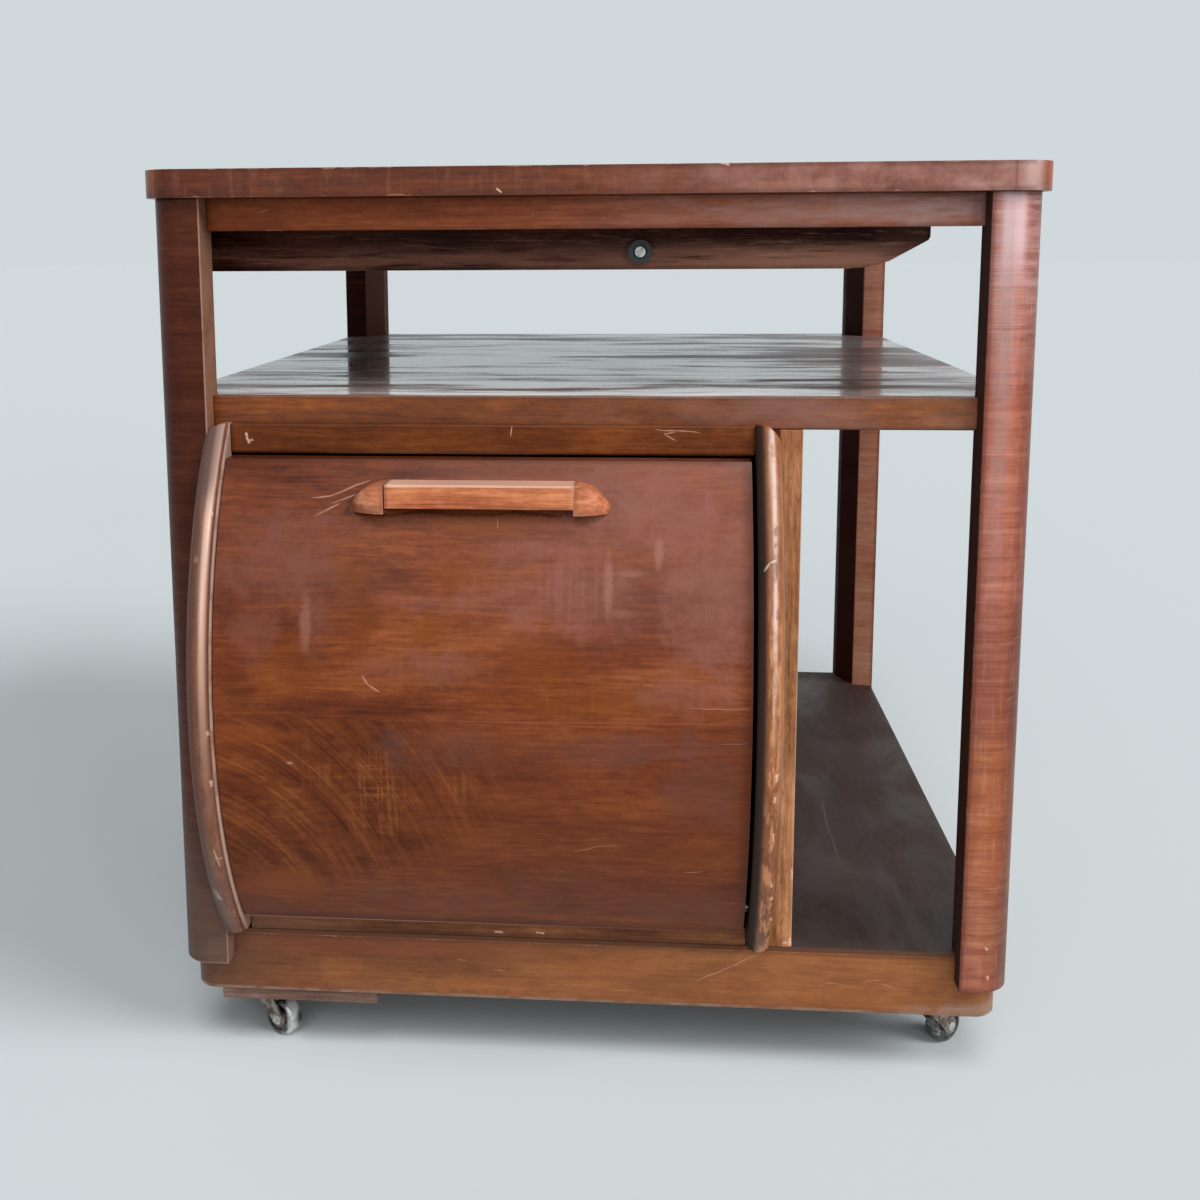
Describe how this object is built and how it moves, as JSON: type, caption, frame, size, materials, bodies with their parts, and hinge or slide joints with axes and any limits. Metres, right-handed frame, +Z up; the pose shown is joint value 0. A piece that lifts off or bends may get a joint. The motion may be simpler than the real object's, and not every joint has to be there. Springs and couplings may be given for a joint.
{
  "type": "bar cart",
  "caption": "Serving cart with a bow-fronted tip-out compartment beside an open bay, a middle shelf, a sliding tray under the top and small swivel castors.",
  "frame": {"origin": "middle of the bounding box on the ground", "axes": "+Z up, the bowed front faces -Y, +X to the right seen from the front"},
  "size_m": [0.624, 0.7912, 0.671],
  "materials": {
    "veneer": "polished veneer",
    "post_veneer": "polished cross-grain veneer",
    "moulding_wood": "worn polish",
    "dark_wood": "dark stained",
    "handle_wood": "worn polish",
    "block_wood": "bare",
    "buffer_rubber": "black",
    "bright_steel": "bright",
    "castor_metal": "tarnished",
    "wheel_rubber": "worn black"
  },
  "bodies": {
    "frame": {"top_board": "veneer", "rail_front": "veneer", "rail_rear": "veneer", "rail_left": "veneer", "rail_right": "veneer", "post_front_left": "post_veneer", "post_front_right": "post_veneer", "post_rear_left": "post_veneer", "post_rear_right": "post_veneer", "middle_shelf": "veneer", "floor_board": "dark_wood", "partition": "veneer", "compartment_side": "dark_wood", "compartment_back": "dark_wood", "door_guide": "dark_wood", "header_strip": "veneer", "sill_strip": "veneer", "moulding_left": "moulding_wood", "moulding_right": "moulding_wood", "plinth_front": "veneer", "plinth_rear": "veneer", "plinth_left": "veneer", "plinth_right": "veneer", "castor_blocks": "block_wood", "castor_screws": "bright_steel", "runner_front": "dark_wood", "runner_rear": "dark_wood", "pivot_pin_left": "castor_metal", "pivot_pin_right": "castor_metal", "castor_plate_front_left": "castor_metal", "castor_plate_front_right": "castor_metal", "castor_plate_rear_left": "castor_metal", "castor_plate_rear_right": "castor_metal"},
    "tip_out_box": {"door_panel": "veneer", "box_cheek_left": "dark_wood", "box_cheek_right": "dark_wood", "box_floor": "dark_wood", "box_back": "dark_wood", "handle_grip": "handle_wood", "handle_end_left": "handle_wood", "handle_end_right": "handle_wood"},
    "tray": {"tray_side_front": "dark_wood", "tray_side_rear": "dark_wood", "tray_front": "veneer", "tray_back": "veneer", "tray_bottom": "dark_wood", "buffer_ring": "buffer_rubber", "buffer_screw": "bright_steel"},
    "castor_front_left": {"fork_front_left": "castor_metal", "axle_front_left": "bright_steel"},
    "roller_front_left": {"wheel_front_left": "wheel_rubber"},
    "castor_front_right": {"fork_front_right": "castor_metal", "axle_front_right": "bright_steel"},
    "roller_front_right": {"wheel_front_right": "wheel_rubber"},
    "castor_rear_left": {"fork_rear_left": "castor_metal", "axle_rear_left": "bright_steel"},
    "roller_rear_left": {"wheel_rear_left": "wheel_rubber"},
    "castor_rear_right": {"fork_rear_right": "castor_metal", "axle_rear_right": "bright_steel"},
    "roller_rear_right": {"wheel_rear_right": "wheel_rubber"}
  },
  "joints": [
    {"name": "tip_out_box_hinge", "type": "hinge", "parent": "frame", "child": "tip_out_box", "pos_m": [0, -0.31737, 0.136], "axis": [1, 0, 0], "range_deg": [0, 40]},
    {"name": "tray_slide", "type": "slide", "parent": "frame", "child": "tray", "axis": [-1, 0, 0], "range_m": [0, 0.28]},
    {"name": "swivel_front_left", "type": "hinge", "parent": "frame", "child": "castor_front_left", "pos_m": [-0.26, -0.26937, 0.04], "axis": [0, 0, 1], "continuous": true},
    {"name": "roll_front_left", "type": "hinge", "parent": "castor_front_left", "child": "roller_front_left", "pos_m": [-0.24146, -0.27923, 0.014], "axis": [0.4695, 0.8829, 0], "continuous": true},
    {"name": "swivel_front_right", "type": "hinge", "parent": "frame", "child": "castor_front_right", "pos_m": [0.26, -0.26337, 0.04], "axis": [0, 0, 1], "continuous": true},
    {"name": "roll_front_right", "type": "hinge", "parent": "castor_front_right", "child": "roller_front_right", "pos_m": [0.27609, -0.24987, 0.014], "axis": [-0.6428, 0.766, 0], "continuous": true},
    {"name": "swivel_rear_left", "type": "hinge", "parent": "frame", "child": "castor_rear_left", "pos_m": [-0.26, 0.32863, 0.04], "axis": [0, 0, 1], "continuous": true},
    {"name": "roll_rear_left", "type": "hinge", "parent": "castor_rear_left", "child": "roller_rear_left", "pos_m": [-0.23972, 0.33407, 0.014], "axis": [-0.2588, 0.9659, 0], "continuous": true},
    {"name": "swivel_rear_right", "type": "hinge", "parent": "frame", "child": "castor_rear_right", "pos_m": [0.26, 0.32263, 0.04], "axis": [0, 0, 1], "continuous": true},
    {"name": "roll_rear_right", "type": "hinge", "parent": "castor_rear_right", "child": "roller_rear_right", "pos_m": [0.2772, 0.31059, 0.014], "axis": [0.5736, 0.8192, 0], "continuous": true}
  ]
}
